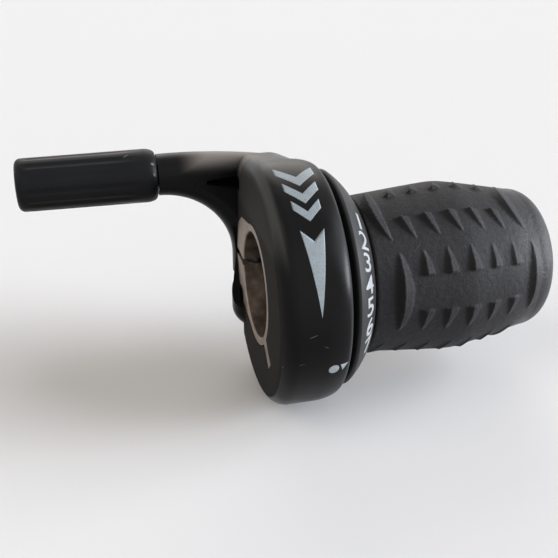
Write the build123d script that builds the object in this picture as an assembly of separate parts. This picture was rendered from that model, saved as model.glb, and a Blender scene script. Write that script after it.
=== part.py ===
"""Twist grip gear shifter for a handlebar: a clamped housing with a cable horn, a turning grip with a
number flange and cable spool, and a screw-out barrel adjuster at the end of the horn.

Millimetres. The X axis is the bar axis and runs outboard, towards the grip; Z is up and Y points back.
The origin is on the bar axis, at the inboard mouth of the clamp ring's bore.
Angles round the bar are in degrees from the back, rising over the top.
"""
from math import acos, atan2, cos, degrees, hypot, radians, sin, sqrt
import os

from build123d import *

# Handlebar and clamp
bar_r = 11.1                # handlebar radius
bar_clear = 0.3             # room round the bar outside the clamp
clamp_width = 7.0           # clamp ring along the bar
clamp_wall = 1.6            # clamp ring thickness
clamp_slot = 1.6            # split at the back of the ring
ear_length = 5.5            # ears stand out from the ring by this much
ear_slope = 1.4             # ear tip, slot to shoulder
ear_height = 7.0            # shoulder above and below the slot's middle
ear_root = 10.2             # height at which an ear leaves the ring
bore_chamfer = 0.25         # bevel round the bore's mouth
key_length = 5.3            # key that stops the ring turning in the housing
key_width = 2.6
key_angle = 221.0
seat_clear = 0.25           # room round the clamp in the housing

# Clamp screw
screw_r = 2.0
screw_offset = 1.3          # screw axis beyond the ring's outer radius
screw_end_gap = 0.8         # room past the screw's end in the upper ear
head_r = 3.5
head_height = 4.0
head_edge = 0.4             # rounding of the head
head_seat = 7.4             # head's seat below the slot's middle
hex_across = 3.0
hex_depth = 2.2
screw_clear = 0.15          # room round a shank or a sunk head
head_clear = 0.4            # room round the head in its well
thread_clear = 0.03         # threads are plain fits with this room

# Housing
face_x = -0.3               # inboard face
cup_r = 25.4                # round wall
cup_wall = 3.9
rim_length = 5.4            # the wall curves in over this length towards the rim
rim_fall = 1.75             # and by this much
face_round = 3.5            # rounding of the inboard edge
wall_web = 1.25             # wall between clamp pocket and spool
spigot_wall = 1.1           # tube that the grip turns on
spigot_reach = 6.5          # spigot beyond the rim
boss_r = 5.7                # round the clamp screw's head
boss_below = 5.5            # boss beyond the screw's head
boss_round = 4.6

# Cable horn
neck_r = 4.4                # neck beside the adjuster
neck_length = 17.0
horn_inset = 0.5            # horn's back, inside the round wall's rearmost line
horn_below = 2.5            # horn's top under the housing's highest line
horn_drop = 1.5             # fall of the horn's top from the neck's end to its root
horn_crown = (-4.0, 0.35)   # a point of that crowned line: along the bar, and its fall there
horn_arc = 16.0             # hollow curve under the neck
horn_foot = -0.9            # foot of that curve on the housing
horn_edge = 4.2             # rounding of the horn's edges
horn_root = 6.0             # how far the horn runs into the housing
corner_r = 4.2              # rounded corner where the horn meets the housing
corner_short = 0.43         # corner ends this far inside the rim
corner_round = 5.2
slot_tip = (-6.9, -1.2)     # thin end of the wedge slot in the horn's flank, from the neck axis
slot_base = (0.4, -1.6)     # its wide end, at the inboard face
slot_tip_height = 0.9
slot_base_height = 3.3
slot_depth = 2.3
liner_r = 1.6               # cable liner in the horn
liner_bore_r = 0.9
liner_bend = 12.0
liner_clear = 0.05

# Retaining cover under the housing
cover_span = 40.0           # degrees
cover_middle = -90.0        # straight down
cover_start = 3.2           # inboard edge
cover_seat = 0.3            # cover's inner face, outside the spool's room
cover_gap = 0.15
lip_width = 0.98            # lip that keeps the spool in
lip_reach = 1.2             # lip over the spool
cover_screw_x = 6.2
cover_screw_r = 1.1
cover_screw_length = 7.5
cover_head_r = 2.3
cover_head_height = 1.5
cover_head_edge = 0.5
cross_length = 2.4          # cross recess in the cover screw
cross_width = 0.6
cross_depth = 0.9

# Grip core: spool, number flange and sleeve
run_gap = 0.3               # axial room between turning and fixed parts
running_fit = 0.05          # radial room on the spigot and in the neck
spool_clear = 0.4           # radial room round the spool
detent_plate = 1.4          # inboard plate, with the gear notches
groove_width = 1.4
groove_depth = 2.3
spool_plate = 0.8           # outboard plate of the spool
lip_clear = 0.6             # radial room inside the cover's lip
flange_gap = 1.39           # from the housing's rim to the number flange
flange_r = 22.8
flange_width = 5.88
flange_edge = 0.7           # rounding beside the housing
flange_crown = 0.55         # bulge of the number face
flange_step = 0.6           # from the rubber's edge down to the foot of that face
sleeve_r = 14.2
nipple_r = 2.1              # hole for the cable's end
nipple_wall = 0.5           # between that hole and the groove

# Gears and the detent spring
gears = 7
gear_step = 12.0            # degrees of turn
notch_depth = 1.0
notch_floor = 1.2           # width of a notch at its floor
notch_mouth = 3.2
spring_angle = 150.0        # place of the detent spring
spring_thick = 0.45
spring_width = 1.3
spring_half = 8.4           # half its length
spring_shoulder = 2.2       # half width of its bent nose
spring_lift = 1.1           # shoulders above the spool
nose_clear = 0.15           # nose above the notch's floor
spring_wall = 1.7           # housing wall outside the spring's room
spring_room_half = 24.0     # degrees

# Rubber grip
grip_start_r = 16.6
grip_belly = (20.0, 18.48)  # where the two tapers would meet, along the rubber and across it
grip_tail = (36.4, 15.25)   # end of the outboard taper
belly_round = 26.0          # rounding between the tapers
grip_cap = 4.2              # rounded outboard end, along the bar
grip_round = 3.6            # and across it
bond_gap = 0.02             # rubber on the sleeve
lip_wall = 1.9              # rubber lip over the sleeve's end
lip_bore_r = 11.5
rib_first = 5.3             # crest of the first rib from the rubber's start
rib_pitch = 4.88
rib_count = 7
rib_heights = (1.05, 0.68)  # first rib and last
rib_front = 1.45            # steep side of a rib along the bar
rib_back = 1.9              # gentle side
rib_half_span = 29.0        # degrees, from a patch's middle to its pointed ends
# middle of each patch, shift of its ribs along the bar and the share of their height that wear has left
patches = ((170.5, 0.0, 1.0), (105.0, -0.9, 1.0), (30.5, 0.0, 1.0), (-44.0, -0.9, 1.0), (-118.0, -1.8, 0.3))
band_half_span = 11.5       # bare band through the inner ribs of a patch

# Barrel adjuster
barrel_wall = 1.30          # round the spring
barrel_taper = 0.17         # less radius at the tail
barrel_gap = 0.3            # between barrel and neck
barrel_length = 28.8
barrel_shoulder = 1.1       # rounding beside the neck
barrel_edge = 1.3
flute_count = 12
flute_r = 0.5
flute_depth = 0.22
flute_start = 1.6           # from the tail
flute_length = 20.0
socket_r = 2.6              # seat of the cable housing
socket_depth = 11.0
cable_hole_r = 1.2
chamber_depth = 7.8         # room for the adjuster spring
stem_r = 2.4
stem_reach = 8.0            # stem inside the neck
stem_grip = 6.0             # stem held in the barrel beyond the spring
coil_clear = 0.6            # room inside and outside the coil
wire_r = 0.42
wire_sides = 8              # facets of the modelled wire
coil_turns = 4

over = 1.0                  # cuts run this far past the faces that they open

# Places worked out from the sizes above
clamp_x = -bore_chamfer
clamp_r = bar_r + clamp_wall
ear_reach = clamp_r + ear_length
screw_x = clamp_x + clamp_width / 2
screw_y = clamp_r + screw_offset
spigot_in = bar_r + bar_clear
spigot_r = spigot_in + spigot_wall
core_bore_r = spigot_r + running_fit
cavity_r = cup_r - cup_wall
spool_r = cavity_r - spool_clear
groove_r = spool_r - groove_depth
lip_inner_r = spool_r - lip_reach
hub_r = lip_inner_r - lip_clear
pocket_floor = clamp_x + clamp_width + seat_clear
cavity_x = pocket_floor + wall_web
spool_x = cavity_x + run_gap
groove_x = spool_x + detent_plate
cable_x = groove_x + groove_width / 2
plate_x = groove_x + groove_width
hub_x = plate_x + spool_plate
lip_x = hub_x + run_gap
rim_x = lip_x + lip_width
spigot_end = rim_x + spigot_reach
flange_x = rim_x + flange_gap
flange_foot_r = grip_start_r - flange_step
grip_x = flange_x + flange_width
cap_x = grip_x + grip_tail[0]
grip_end = cap_x + grip_cap
sleeve_end = grip_end - lip_wall
notch_r = spool_r - notch_depth
spring_room_r = cup_r - spring_wall
cover_inner_r = cavity_r + cover_seat
cover_head_seat = cup_r - cover_head_height - cover_gap
neck_y = cup_r - horn_inset - neck_r
neck_z = cup_r - horn_below - neck_r
neck_top = neck_z + neck_r
neck_bottom = neck_z - neck_r
neck_end = -neck_length
coil_r = stem_r + coil_clear + wire_r
chamber_r = coil_r + wire_r + coil_clear
barrel_r = chamber_r + barrel_wall
barrel_tail_r = barrel_r - barrel_taper
barrel_x = neck_end - barrel_gap
barrel_tail = barrel_x - barrel_length
chamber_floor = barrel_x - chamber_depth
stem_inner = neck_end + stem_reach
stem_outer = chamber_floor - stem_grip


def turned(*points):
    """A solid turned about the bar axis from (x, radius) corners."""
    return revolve(make_face(Polyline(*points, close=True)), Axis.X)


def tube(x0, x1, outer, inner):
    """A plain tube about the bar axis."""
    return turned((x0, inner), (x0, outer), (x1, outer), (x1, inner))


def rod(x0, x1, radius):
    """A plain round bar on the bar axis."""
    return turned((x0, 0), (x0, radius), (x1, radius), (x1, 0))


def upright(x, y, z0, z1, radius):
    """A vertical round bar."""
    return Pos(x, y, (z0 + z1) / 2) * Cylinder(radius, z1 - z0)


def across_bar(sketch, x0, x1):
    """A sketch drawn across the bar (Y, Z), carried from x0 to x1."""
    return extrude(Plane.YZ.offset(x0) * sketch, x1 - x0)


def on_neck_axis(solid):
    """A solid made about the bar axis, moved to the neck's own axis."""
    return Pos(0, neck_y, neck_z) * solid


def sector(middle, half, outer):
    """A pie slice across the bar, of at least the outer radius."""
    edge = outer / cos(radians(half))
    corners = [(0, 0)]
    for angle in (middle - half, middle + half):
        corners.append((edge * cos(radians(angle)), edge * sin(radians(angle))))
    return make_face(Polyline(*corners, close=True))


def rounded_corner(face, index, radius):
    """A profile with its outer corner rounded: index 0 is the inboard corner, -1 the outboard one."""
    highest = face.vertices().sort_by(Axis.Y)[-1].Y
    corners = face.vertices().filter_by(lambda v: v.Y > highest / 2).sort_by(Axis.X)
    return fillet(corners[index], radius)


def clamp_outline(room):
    """Outline of the clamp ring with its two ears and its key, grown by room."""
    outline = Circle(clamp_r)
    for side in (1, -1):
        corners = [(0, 0), (0, side * clamp_r), (clamp_r, side * ear_root),
                   (ear_reach - ear_slope, side * ear_height),
                   (ear_reach, side * clamp_slot / 2), (ear_reach, 0)]
        outline += make_face(Polyline(*corners, close=True))
    key_root = clamp_wall / 2
    key = Rectangle(key_root + key_length, key_width, align=(Align.MIN, Align.CENTER))
    outline += Rot(0, 0, key_angle) * Pos(clamp_r - key_root, 0) * key
    return offset(outline, room, kind=Kind.INTERSECTION) if room else outline


def make_clamp_ring():
    """Split metal ring with two screw ears and a key."""
    end = clamp_x + clamp_width
    ring = across_bar(clamp_outline(0), clamp_x, end)
    bore = turned((clamp_x, 0), (clamp_x, bar_r + bore_chamfer), (0, bar_r),
                  (end + over, bar_r), (end + over, 0))
    slot = Pos(screw_x, ear_reach, 0) * Box(2 * clamp_width, 2 * ear_reach, clamp_slot)
    thread = upright(screw_x, screw_y, 0, ear_root + over, screw_r + thread_clear)
    shank = upright(screw_x, screw_y, -ear_reach, 0, screw_r + screw_clear)
    seat = upright(screw_x, screw_y, -ear_reach, -head_seat, head_r + head_clear)
    return ring - bore - slot - thread - shank - seat


def make_clamp_screw():
    """Socket head screw, tightened from below."""
    bottom = -head_seat - head_height
    shank = upright(screw_x, screw_y, -head_seat, ear_height - screw_end_gap, screw_r)
    head = upright(screw_x, screw_y, bottom, -head_seat, head_r)
    head = fillet(head.edges().group_by(Axis.Z)[0], head_edge)
    hexagon = RegularPolygon(hex_across / 2, 6, major_radius=False)
    socket = extrude(Pos(screw_x, screw_y, bottom) * hexagon, hex_depth)
    return head + shank - socket


def cup_solid():
    """Round outer form of the housing, not yet hollowed."""
    start = rim_x - rim_length
    rim_r = cup_r - rim_fall
    rim = EllipticalCenterArc((start, rim_r), rim_length, rim_fall, start_angle=0, arc_size=90)
    rest = Polyline((start, cup_r), (face_x, cup_r), (face_x, 0), (rim_x, 0), (rim_x, rim_r))
    return revolve(rounded_corner(make_face([rim, rest.edges()]), 0, face_round), Axis.X)


def corner_solid():
    """Squared upper back corner of the housing, tangent to its round wall above and behind."""
    y = cup_r - horn_inset - corner_r
    z = neck_top - horn_drop - corner_r
    lean = atan2(z, y)
    spread = acos((cup_r - corner_r) / hypot(y, z))
    top, back = lean + spread, lean - spread
    outline = Polyline((y + corner_r * cos(back), z + corner_r * sin(back)),
                       (cup_r * cos(back), cup_r * sin(back)),
                       (0, 0),
                       (cup_r * cos(top), cup_r * sin(top)),
                       (y + corner_r * cos(top), z + corner_r * sin(top)))
    crown = ThreePointArc(outline @ 1, (y + corner_r * cos(lean), z + corner_r * sin(lean)), outline @ 0)
    block = across_bar(make_face(outline + crown), face_x, rim_x - corner_short)
    for end, radius in ((0, face_round), (-1, corner_round)):
        rim = block.edges().group_by(Axis.X)[end]
        block = fillet([e for e in rim if hypot(e.center().Y, e.center().Z) > cup_r - corner_r], radius)
    return block


def horn_solid():
    """Flat-sided horn: the neck, and the web that curves down from it to the housing."""
    foot_z = neck_bottom - horn_arc
    arc_x = horn_foot - horn_arc
    hollow = RadiusArc((arc_x, neck_bottom), (horn_foot, foot_z), horn_arc)
    rest = Polyline((horn_foot, foot_z), (horn_foot, foot_z - neck_r), (horn_root, foot_z - neck_r),
                    (horn_root, neck_top - horn_drop))
    crown = ThreePointArc(rest @ 1, (horn_crown[0], neck_top - horn_crown[1]), (neck_end, neck_top))
    end = Polyline((neck_end, neck_top), (neck_end, neck_bottom), (arc_x, neck_bottom))
    outline = make_face([hollow, rest.edges(), crown, end.edges()])
    bar = extrude(Plane.XZ.offset(-neck_y - neck_r) * outline, 2 * neck_r)
    edges = [e for side in bar.faces().filter_by(Axis.Y) for e in side.edges()]
    ends = (neck_end + over, horn_root - over)
    long_edges = [e for e in edges if ends[0] < e.center().X < ends[1] and e.center().Z > foot_z - over]
    return fillet(long_edges, horn_edge)


def liner_path():
    """Middle line of the cable liner: up from the spool, round the bend and out along the neck."""
    bend_x = cable_x - liner_bend
    bend_z = neck_z - liner_bend
    up = Line((cable_x, neck_y, bend_z - liner_r), (cable_x, neck_y, bend_z))
    bend = Plane.XZ.offset(-neck_y) * RadiusArc((cable_x, bend_z), (bend_x, neck_z), -liner_bend)
    out = Line((bend_x, neck_y, neck_z), (stem_inner + run_gap, neck_y, neck_z))
    return Wire([up, bend.edge(), out])


def swept(path, radius):
    """A round bar along a path."""
    section = Plane(origin=path @ 0, z_dir=path % 0) * Circle(radius)
    return sweep(section, path)


def make_cable_liner():
    """Slippery tube that leads the cable round the horn, cut off at the spool's room."""
    path = liner_path()
    return swept(path, liner_r) - swept(path, liner_bore_r) - rod(cavity_x, rim_x, cavity_r)


def cover_zone(gap):
    """Space of the retaining cover in the housing wall, shrunk by gap on its sides."""
    half = cover_span / 2 - degrees(gap / cup_r)
    pie = across_bar(sector(cover_middle, half, cup_r + over), cover_start + gap, rim_x + cover_gap)
    return pie - rod(face_x, lip_x, cover_inner_r + gap) - rod(lip_x - over, rim_x + over, lip_inner_r)


def cover_pin(radius, outer, inner):
    """A vertical pin or hole at the cover screw, between two depths below the bar axis."""
    return upright(cover_screw_x, 0, -outer, -inner, radius)


def make_retaining_cover():
    """Curved cover in the bottom of the housing; its lip keeps the spool in."""
    cover = cup_solid() & cover_zone(cover_gap)
    cover -= cover_pin(cover_screw_r + screw_clear, cup_r, cup_r - cover_screw_length)
    return cover - cover_pin(cover_head_r + screw_clear, cup_r + over, cover_head_seat)


def make_cover_screw():
    """Small cross-head screw that holds the cover."""
    top = cover_head_seat + cover_head_height
    head = cover_pin(cover_head_r, top, cover_head_seat)
    head = fillet(head.edges().group_by(Axis.Z)[0], cover_head_edge)
    shank = cover_pin(cover_screw_r, cover_head_seat, cup_r - cover_screw_length)
    slot = Box(cross_length, cross_width, 2 * cross_depth)
    cross = slot + Rot(0, 0, 90) * slot
    return head + shank - Pos(cover_screw_x, 0, -top) * cross


def flank_slot():
    """Wedge-shaped slot in the horn's flank, as a solid to cut away."""
    corners = []
    for (x, z), half, order in ((slot_tip, slot_tip_height / 2, -1), (slot_base, slot_base_height / 2, 1)):
        corners += [(x, neck_z + z - order * half), (x, neck_z + z + order * half)]
    wedge = make_face(Polyline(*corners, close=True))
    flank = neck_y - neck_r
    return extrude(Plane.XZ.offset(-flank - slot_depth) * wedge, 2 * slot_depth)


def make_housing():
    """Moulded body: round cup, squared corner, horn, clamp pocket and spool room in one piece."""
    boss = upright(screw_x, screw_y, -head_seat - head_height - boss_below, clamp_slot, boss_r)
    boss = fillet(boss.edges().group_by(Axis.Z)[0], boss_round)
    body = cup_solid() + corner_solid() + horn_solid() + boss
    body -= rod(cavity_x, rim_x + over, cavity_r)
    spring_room = across_bar(sector(spring_angle, spring_room_half, cup_r), cavity_x, groove_x + run_gap)
    body -= spring_room & rod(cavity_x, rim_x, spring_room_r)
    body += tube(cavity_x - wall_web, spigot_end, spigot_r, spigot_in)
    body -= rod(face_x - over, spigot_end + over, spigot_in)
    body -= across_bar(clamp_outline(seat_clear), face_x - boss_r, pocket_floor)
    body -= upright(screw_x, screw_y, -cup_r, seat_clear - head_seat, head_r + head_clear)
    body -= cover_zone(0)
    body -= cover_pin(cover_screw_r + thread_clear, cup_r, cup_r - cover_screw_length - cover_gap)
    body -= flank_slot()
    body -= swept(liner_path(), liner_r + liner_clear)
    return body - on_neck_axis(rod(neck_end - over, stem_inner, stem_r + running_fit))


def make_detent_spring():
    """Bent steel strip; its nose drops into the gear notches."""
    nose = notch_r + nose_clear + spring_thick / 2
    shoulder = spool_r + spring_lift + spring_thick / 2
    end = sqrt((spring_room_r - spring_thick) ** 2 - spring_half ** 2)
    nose_half = notch_floor / 2 - nose_clear
    line = Polyline((-spring_half, end), (-spring_shoulder, shoulder), (-nose_half, nose),
                    (nose_half, nose), (spring_shoulder, shoulder), (spring_half, end))
    strip = Rot(0, 0, spring_angle - 90) * trace(line, spring_thick)
    return across_bar(strip, spool_x, spool_x + spring_width)


def flange_face():
    """Bulged number face of the flange, from its edge down to the rubber."""
    x0 = flange_x + flange_edge
    slope = hypot(grip_x - x0, flange_r - flange_foot_r)
    crown = ((x0 + grip_x) / 2 + flange_crown * (flange_r - flange_foot_r) / slope,
             (flange_r + flange_foot_r) / 2 + flange_crown * (grip_x - x0) / slope)
    return ThreePointArc((x0, flange_r), crown, (grip_x, flange_foot_r))


def make_grip_core():
    """Turning core in one piece: spool with gear notches, number flange and sleeve."""
    bore_step = spigot_end + run_gap
    outline = Polyline((grip_x, flange_foot_r), (grip_x, sleeve_r), (sleeve_end, sleeve_r),
                       (sleeve_end, spigot_in), (bore_step, spigot_in), (bore_step, core_bore_r),
                       (spool_x, core_bore_r), (spool_x, spool_r), (groove_x, spool_r),
                       (groove_x, groove_r), (plate_x, groove_r), (plate_x, spool_r),
                       (hub_x, spool_r), (hub_x, hub_r), (flange_x, hub_r),
                       (flange_x, flange_r - flange_edge))
    edge = EllipticalCenterArc((flange_x + flange_edge, flange_r - flange_edge), flange_edge, flange_edge,
                               start_angle=90, arc_size=90)
    core = revolve(make_face([outline.edges(), edge, flange_face()]), Axis.X)
    notch = make_face(Polyline((notch_r, -notch_floor / 2), (spool_r, -notch_mouth / 2),
                               (cavity_r, -notch_mouth / 2), (cavity_r, notch_mouth / 2),
                               (spool_r, notch_mouth / 2), (notch_r, notch_floor / 2), close=True))
    for gear in range(gears):
        turn = Rot(0, 0, spring_angle - gear * gear_step)
        core -= across_bar(turn * notch, spool_x - over, groove_x)
    nipple_place = groove_r - nipple_wall - nipple_r
    return core - Pos(0, 0, -nipple_place) * rod(spool_x - over, hub_x, nipple_r)


def grip_radius(x):
    """Radius of the bare rubber at x, read along its two tapers."""
    along = x - grip_x
    if along < grip_belly[0]:
        return grip_start_r + (grip_belly[1] - grip_start_r) * along / grip_belly[0]
    fall = (grip_tail[1] - grip_belly[1]) / (grip_tail[0] - grip_belly[0])
    return grip_belly[1] + fall * (along - grip_belly[0])


def rib_disc(x, height, middle):
    """Sharp-edged disc set off the bar axis, so that its edge stands out as one rib with pointed ends."""
    surface = grip_radius(x)
    crest = surface + height
    chord = surface * sin(radians(rib_half_span))
    rise = crest - surface * cos(radians(rib_half_span))
    disc_r = (chord ** 2 + rise ** 2) / (2 * rise)
    lean = (grip_radius(x + rib_back) - grip_radius(x - rib_front)) / (rib_back + rib_front)
    foot_r = disc_r - 2 * height
    front, back = -2 * rib_front, 2 * rib_back
    disc = turned((x + front, 0), (x + front, foot_r + lean * front), (x, disc_r),
                  (x + back, foot_r + lean * back), (x + back, 0))
    return Rot(middle, 0, 0) * Pos(0, crest - disc_r, 0) * disc


def rib_patch(middle, shift, share):
    """One patch of ribs; a bare band runs through all but the first and the last."""
    places = [grip_x + rib_first + shift + k * rib_pitch for k in range(rib_count)]
    step = (rib_heights[1] - rib_heights[0]) / (rib_count - 1)
    discs = [rib_disc(x, share * (rib_heights[0] + k * step), middle) for k, x in enumerate(places)]
    half_pitch = rib_pitch / 2
    band = sector(middle, band_half_span, 2 * cup_r)
    band = across_bar(band, places[0] + half_pitch, places[-1] - half_pitch)
    return [discs[0], discs[-1]] + [disc - band for disc in discs[1:-1]]


def make_rubber_grip():
    """Barrel-shaped rubber sleeve with patches of sawtooth ribs, parted by plain lanes."""
    belly = (grip_x + grip_belly[0], grip_belly[1])
    cap_r = grip_tail[1] - grip_round
    tapers = FilletPolyline((grip_x, grip_start_r), belly, (cap_x, grip_tail[1]), radius=belly_round)
    cap = EllipticalCenterArc((cap_x, cap_r), grip_cap, grip_round, start_angle=0, arc_size=90)
    inside = Polyline((grip_end, cap_r), (grip_end, 0), (grip_x, 0), (grip_x, grip_start_r))
    grip = revolve(make_face([tapers.edges(), cap, inside.edges()]), Axis.X)
    ribs = []
    for patch in patches:
        ribs += rib_patch(*patch)
    grip = grip.fuse(*ribs)
    grip = grip - rod(grip_x - over, sleeve_end + bond_gap, sleeve_r + bond_gap)
    return grip - rod(grip_x - over, grip_end + over, lip_bore_r)


def make_adjuster_barrel():
    """Fluted barrel with a seat for the cable housing and a room for the spring."""
    profile = make_face(Polyline((barrel_tail, 0), (barrel_tail, barrel_tail_r), (barrel_x, barrel_r),
                                 (barrel_x, 0), close=True))
    profile = rounded_corner(profile, 0, barrel_edge)
    barrel = revolve(rounded_corner(profile, -1, barrel_shoulder), Axis.X)
    start = barrel_tail + flute_start
    flute = Pos(0, barrel_tail_r + flute_r - flute_depth, 0) * rod(start, start + flute_length, flute_r)
    for k in range(flute_count):
        barrel -= Rot(k * 360 / flute_count, 0, 0) * flute
    barrel -= rod(barrel_tail - over, barrel_tail + socket_depth, socket_r)
    barrel -= rod(barrel_tail, barrel_x, cable_hole_r)
    barrel -= rod(stem_outer, barrel_x, stem_r)
    return on_neck_axis(barrel - rod(chamber_floor, barrel_x + over, chamber_r))


def make_adjuster_stem():
    """Hollow screw fixed in the barrel; it turns in the neck."""
    return on_neck_axis(tube(stem_outer, stem_inner, stem_r, cable_hole_r))


def make_adjuster_spring():
    """Coil between the barrel and the neck; it keeps the adjuster from creeping."""
    start = chamber_floor + wire_r
    length = neck_end - wire_r - start
    helix = Helix(length / coil_turns, length, coil_r, center=(start, 0, 0), direction=(1, 0, 0))
    section = Plane(origin=helix @ 0, z_dir=helix % 0) * RegularPolygon(wire_r, wire_sides)
    return on_neck_axis(sweep(section, helix, is_frenet=True))


parts = {
    "housing": make_housing,
    "clamp_ring": make_clamp_ring,
    "clamp_screw": make_clamp_screw,
    "retaining_cover": make_retaining_cover,
    "cover_screw": make_cover_screw,
    "detent_spring": make_detent_spring,
    "cable_liner": make_cable_liner,
    "grip_core": make_grip_core,
    "rubber_grip": make_rubber_grip,
    "adjuster_barrel": make_adjuster_barrel,
    "adjuster_stem": make_adjuster_stem,
    "adjuster_spring": make_adjuster_spring,
}

os.makedirs("parts", exist_ok=True)
for name, make in parts.items():
    export_step(make(), f"parts/{name}.step")
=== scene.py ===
"""Looks of a twist grip gear shifter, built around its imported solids.

Sizes in this file are millimetres and are turned to metres when a mesh is made. X runs outboard along the
handlebar and Z is up. Angles round the bar are degrees above the front, rising over the top.
"""
from math import degrees, radians

import bmesh
import bpy
import numpy as np
from bpy.props import FloatProperty, FloatVectorProperty, IntProperty, PointerProperty
from mathutils import Euler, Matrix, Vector


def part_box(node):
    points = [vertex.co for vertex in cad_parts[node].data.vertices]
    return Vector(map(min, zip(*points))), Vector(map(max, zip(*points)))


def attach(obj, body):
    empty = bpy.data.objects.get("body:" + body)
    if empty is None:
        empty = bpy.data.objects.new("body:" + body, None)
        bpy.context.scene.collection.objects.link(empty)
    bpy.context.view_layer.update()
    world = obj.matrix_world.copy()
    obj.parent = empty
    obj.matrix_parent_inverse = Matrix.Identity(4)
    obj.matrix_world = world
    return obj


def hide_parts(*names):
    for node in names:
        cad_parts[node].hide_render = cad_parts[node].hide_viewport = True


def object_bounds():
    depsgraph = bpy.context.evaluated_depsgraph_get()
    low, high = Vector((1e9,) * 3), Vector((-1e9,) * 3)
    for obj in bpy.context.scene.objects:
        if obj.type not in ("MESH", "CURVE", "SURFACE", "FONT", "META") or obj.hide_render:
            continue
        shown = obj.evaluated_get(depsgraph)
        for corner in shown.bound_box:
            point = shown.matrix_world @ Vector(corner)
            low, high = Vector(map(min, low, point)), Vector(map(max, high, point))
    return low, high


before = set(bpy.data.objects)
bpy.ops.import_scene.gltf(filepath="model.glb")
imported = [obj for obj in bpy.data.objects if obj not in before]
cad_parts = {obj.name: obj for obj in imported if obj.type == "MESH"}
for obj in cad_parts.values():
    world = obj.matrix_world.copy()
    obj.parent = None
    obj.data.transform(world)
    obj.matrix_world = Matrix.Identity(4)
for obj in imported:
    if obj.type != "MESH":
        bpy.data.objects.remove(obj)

bl_info = {
    "name": "Twist grip shifter",
    "version": (1, 0, 0),
    "blender": (4, 5, 0),
    "location": "View3D > Sidebar > Shifter",
    "description": "Dresses the solids of a handlebar twist shifter",
    "category": "Object",
}

CAD_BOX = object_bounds()
MM = 0.001
IMAGE = 558                      # side of the picture in pixels
WELD = 1e-6                      # corners of a solid closer than this, in metres, are one
CREASE = 38                      # degrees; faces of a moulding that meet at less shade as one surface
TURNED_CREASE = 34               # the same for turned pieces
STRIP_CREASE = 30                # for bent strip
BARREL_CREASE = 40               # for the barrel
RUBBER_CREASE = 60               # and for the rubber


def box_mm(node):
    """Lowest and highest corner of a solid, in millimetres."""
    low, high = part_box(node)
    return np.array(low) / MM, np.array(high) / MM


# Places read from the solids
COVER_LOW = box_mm("retaining_cover")[0]
CORE_HIGH = box_mm("grip_core")[1]
RUBBER_LOW, RUBBER_HIGH = box_mm("rubber_grip")
BARREL_LOW, BARREL_HIGH = box_mm("adjuster_barrel")
STEM_LOW, STEM_HIGH = box_mm("adjuster_stem")
SPRING_LOW, SPRING_HIGH = box_mm("adjuster_spring")

# Housing wall, for the prints that lie on it
FACE_X = -0.3                    # inboard face
CUP_R = -COVER_LOW[2]            # round wall
FACE_ROUND = 3.5                 # rounding of the inboard edge
RIM_X = 13.43                    # outboard rim
RIM_LENGTH = 5.4                 # the wall curves in over this length towards the rim
RIM_FALL = 1.75                  # and by this much
SLOT_LOW = (-7.2, 16.4, 15.1)    # room of the wedge slot in the horn's flank, painted dark as its shade
SLOT_HIGH = (0.5, 18.6, 18.6)
BORE_R = 11.1                    # clamp's bore
DULL_R = BORE_R + 2              # walls closer to the bar axis than this are dull
BORE_SHADE_R = BORE_R + 0.03           # painted shade and grime on the clamp's bore wall reach this far out

# Number flange of the grip's core
FLANGE_R = CORE_HIGH[1]
FLANGE_X = 15.52                 # where the number face starts
FLANGE_FOOT_R = 16.0             # where it ends, under the rubber's edge
FLANGE_CROWN = 0.55              # its bulge
DIGIT_X = 18.05                  # middle of the numbers
DIGIT_BOLD = 0.012               # how far a numeral's outline is moved out, in units of its font
DIGIT_EDGE = 0.12                # edges longer than this, in the same units, are cut
DIGIT_CUTS = 3                   # so many times

# Rubber grip
GRIP_X = RUBBER_LOW[0]
GRIP_LENGTH = RUBBER_HIGH[0] - GRIP_X
GRIP_START_R = 16.6
START_ROUND = 0.6                # rounded edge beside the flange
BELLY = (20.0, 18.48)            # where its two tapers would meet, along and across
BELLY_SOFT = 0.27                # how far the rounding lies under that meeting point
TAIL = (36.4, 15.25)             # end of the outboard taper
CAP_ROUND = 3.6                  # rounded end, across the bar
LIP_BORE_R = 11.5
LIP_WALL = 1.88
LIP_EDGE = 0.1                   # bevel of the bore's edge
SLEEVE_R = 14.22                 # rubber's inside, on the core's sleeve
RIB_FIRST = 5.3                  # crest of the first rib
RIB_PITCH = 4.88
RIB_COUNT = 7
RIB_FRONT = 1.45                 # steep side of a rib
RIB_BACK = 1.9                   # gentle side
RIB_SPAN = 29.0                  # degrees, from a patch's middle to its pointed ends
RIB_REACH = 1.5                  # ribs are worked out over this many spans
BOW_LIMIT = 1.2                  # and their bow ends at this square of a span
NO_RIB = -9.0                    # far under the bare rubber
# each patch: its middle, its ribs' shift along the bar, the share of their height left by wear inboard and
# outboard, and how far their middles bow along the bar from their ends
PATCHES = ((9.5, -0.2, 1.0, 1.0, 0.4), (75.0, -0.9, 1.25, 1.25, -2.6), (149.5, -0.2, 1.0, 1.0, 0.4),
           (224.0, -0.9, 1.25, 1.25, -2.6), (298.0, -1.8, 0.35, 0.9, -2.0))
BAND_SPAN = 11.5                 # bare band through the inner ribs
BAND_SOFT = 0.8                  # degrees, half of the slope at its edges
BAND_DEPTH = 1.5                 # more than the height of a rib
RIB_SOFT = 0.14                  # softness of the moulded edges
RUBBER_ROWS = 216
RUBBER_COLUMNS = 400
CAP_ROWS = 14
STEEP = 0.22                     # slope at which a rib's inboard side is in full painted shade
CORNER_ROWS = 2                  # rows of painted shade in the corner in front of it
CORNER_SHADE = 0.8
BACK_SHADE = 0.35                # most painted shade on a rib's back
BACK_SLOPES = (0.1, 0.8)         # it starts at the first slope and grows over the second
CREST_WEAR_AND_HIGHLIGHT = 0.7                 # most pale on a crest, partly wear and partly painted highlight
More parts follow.
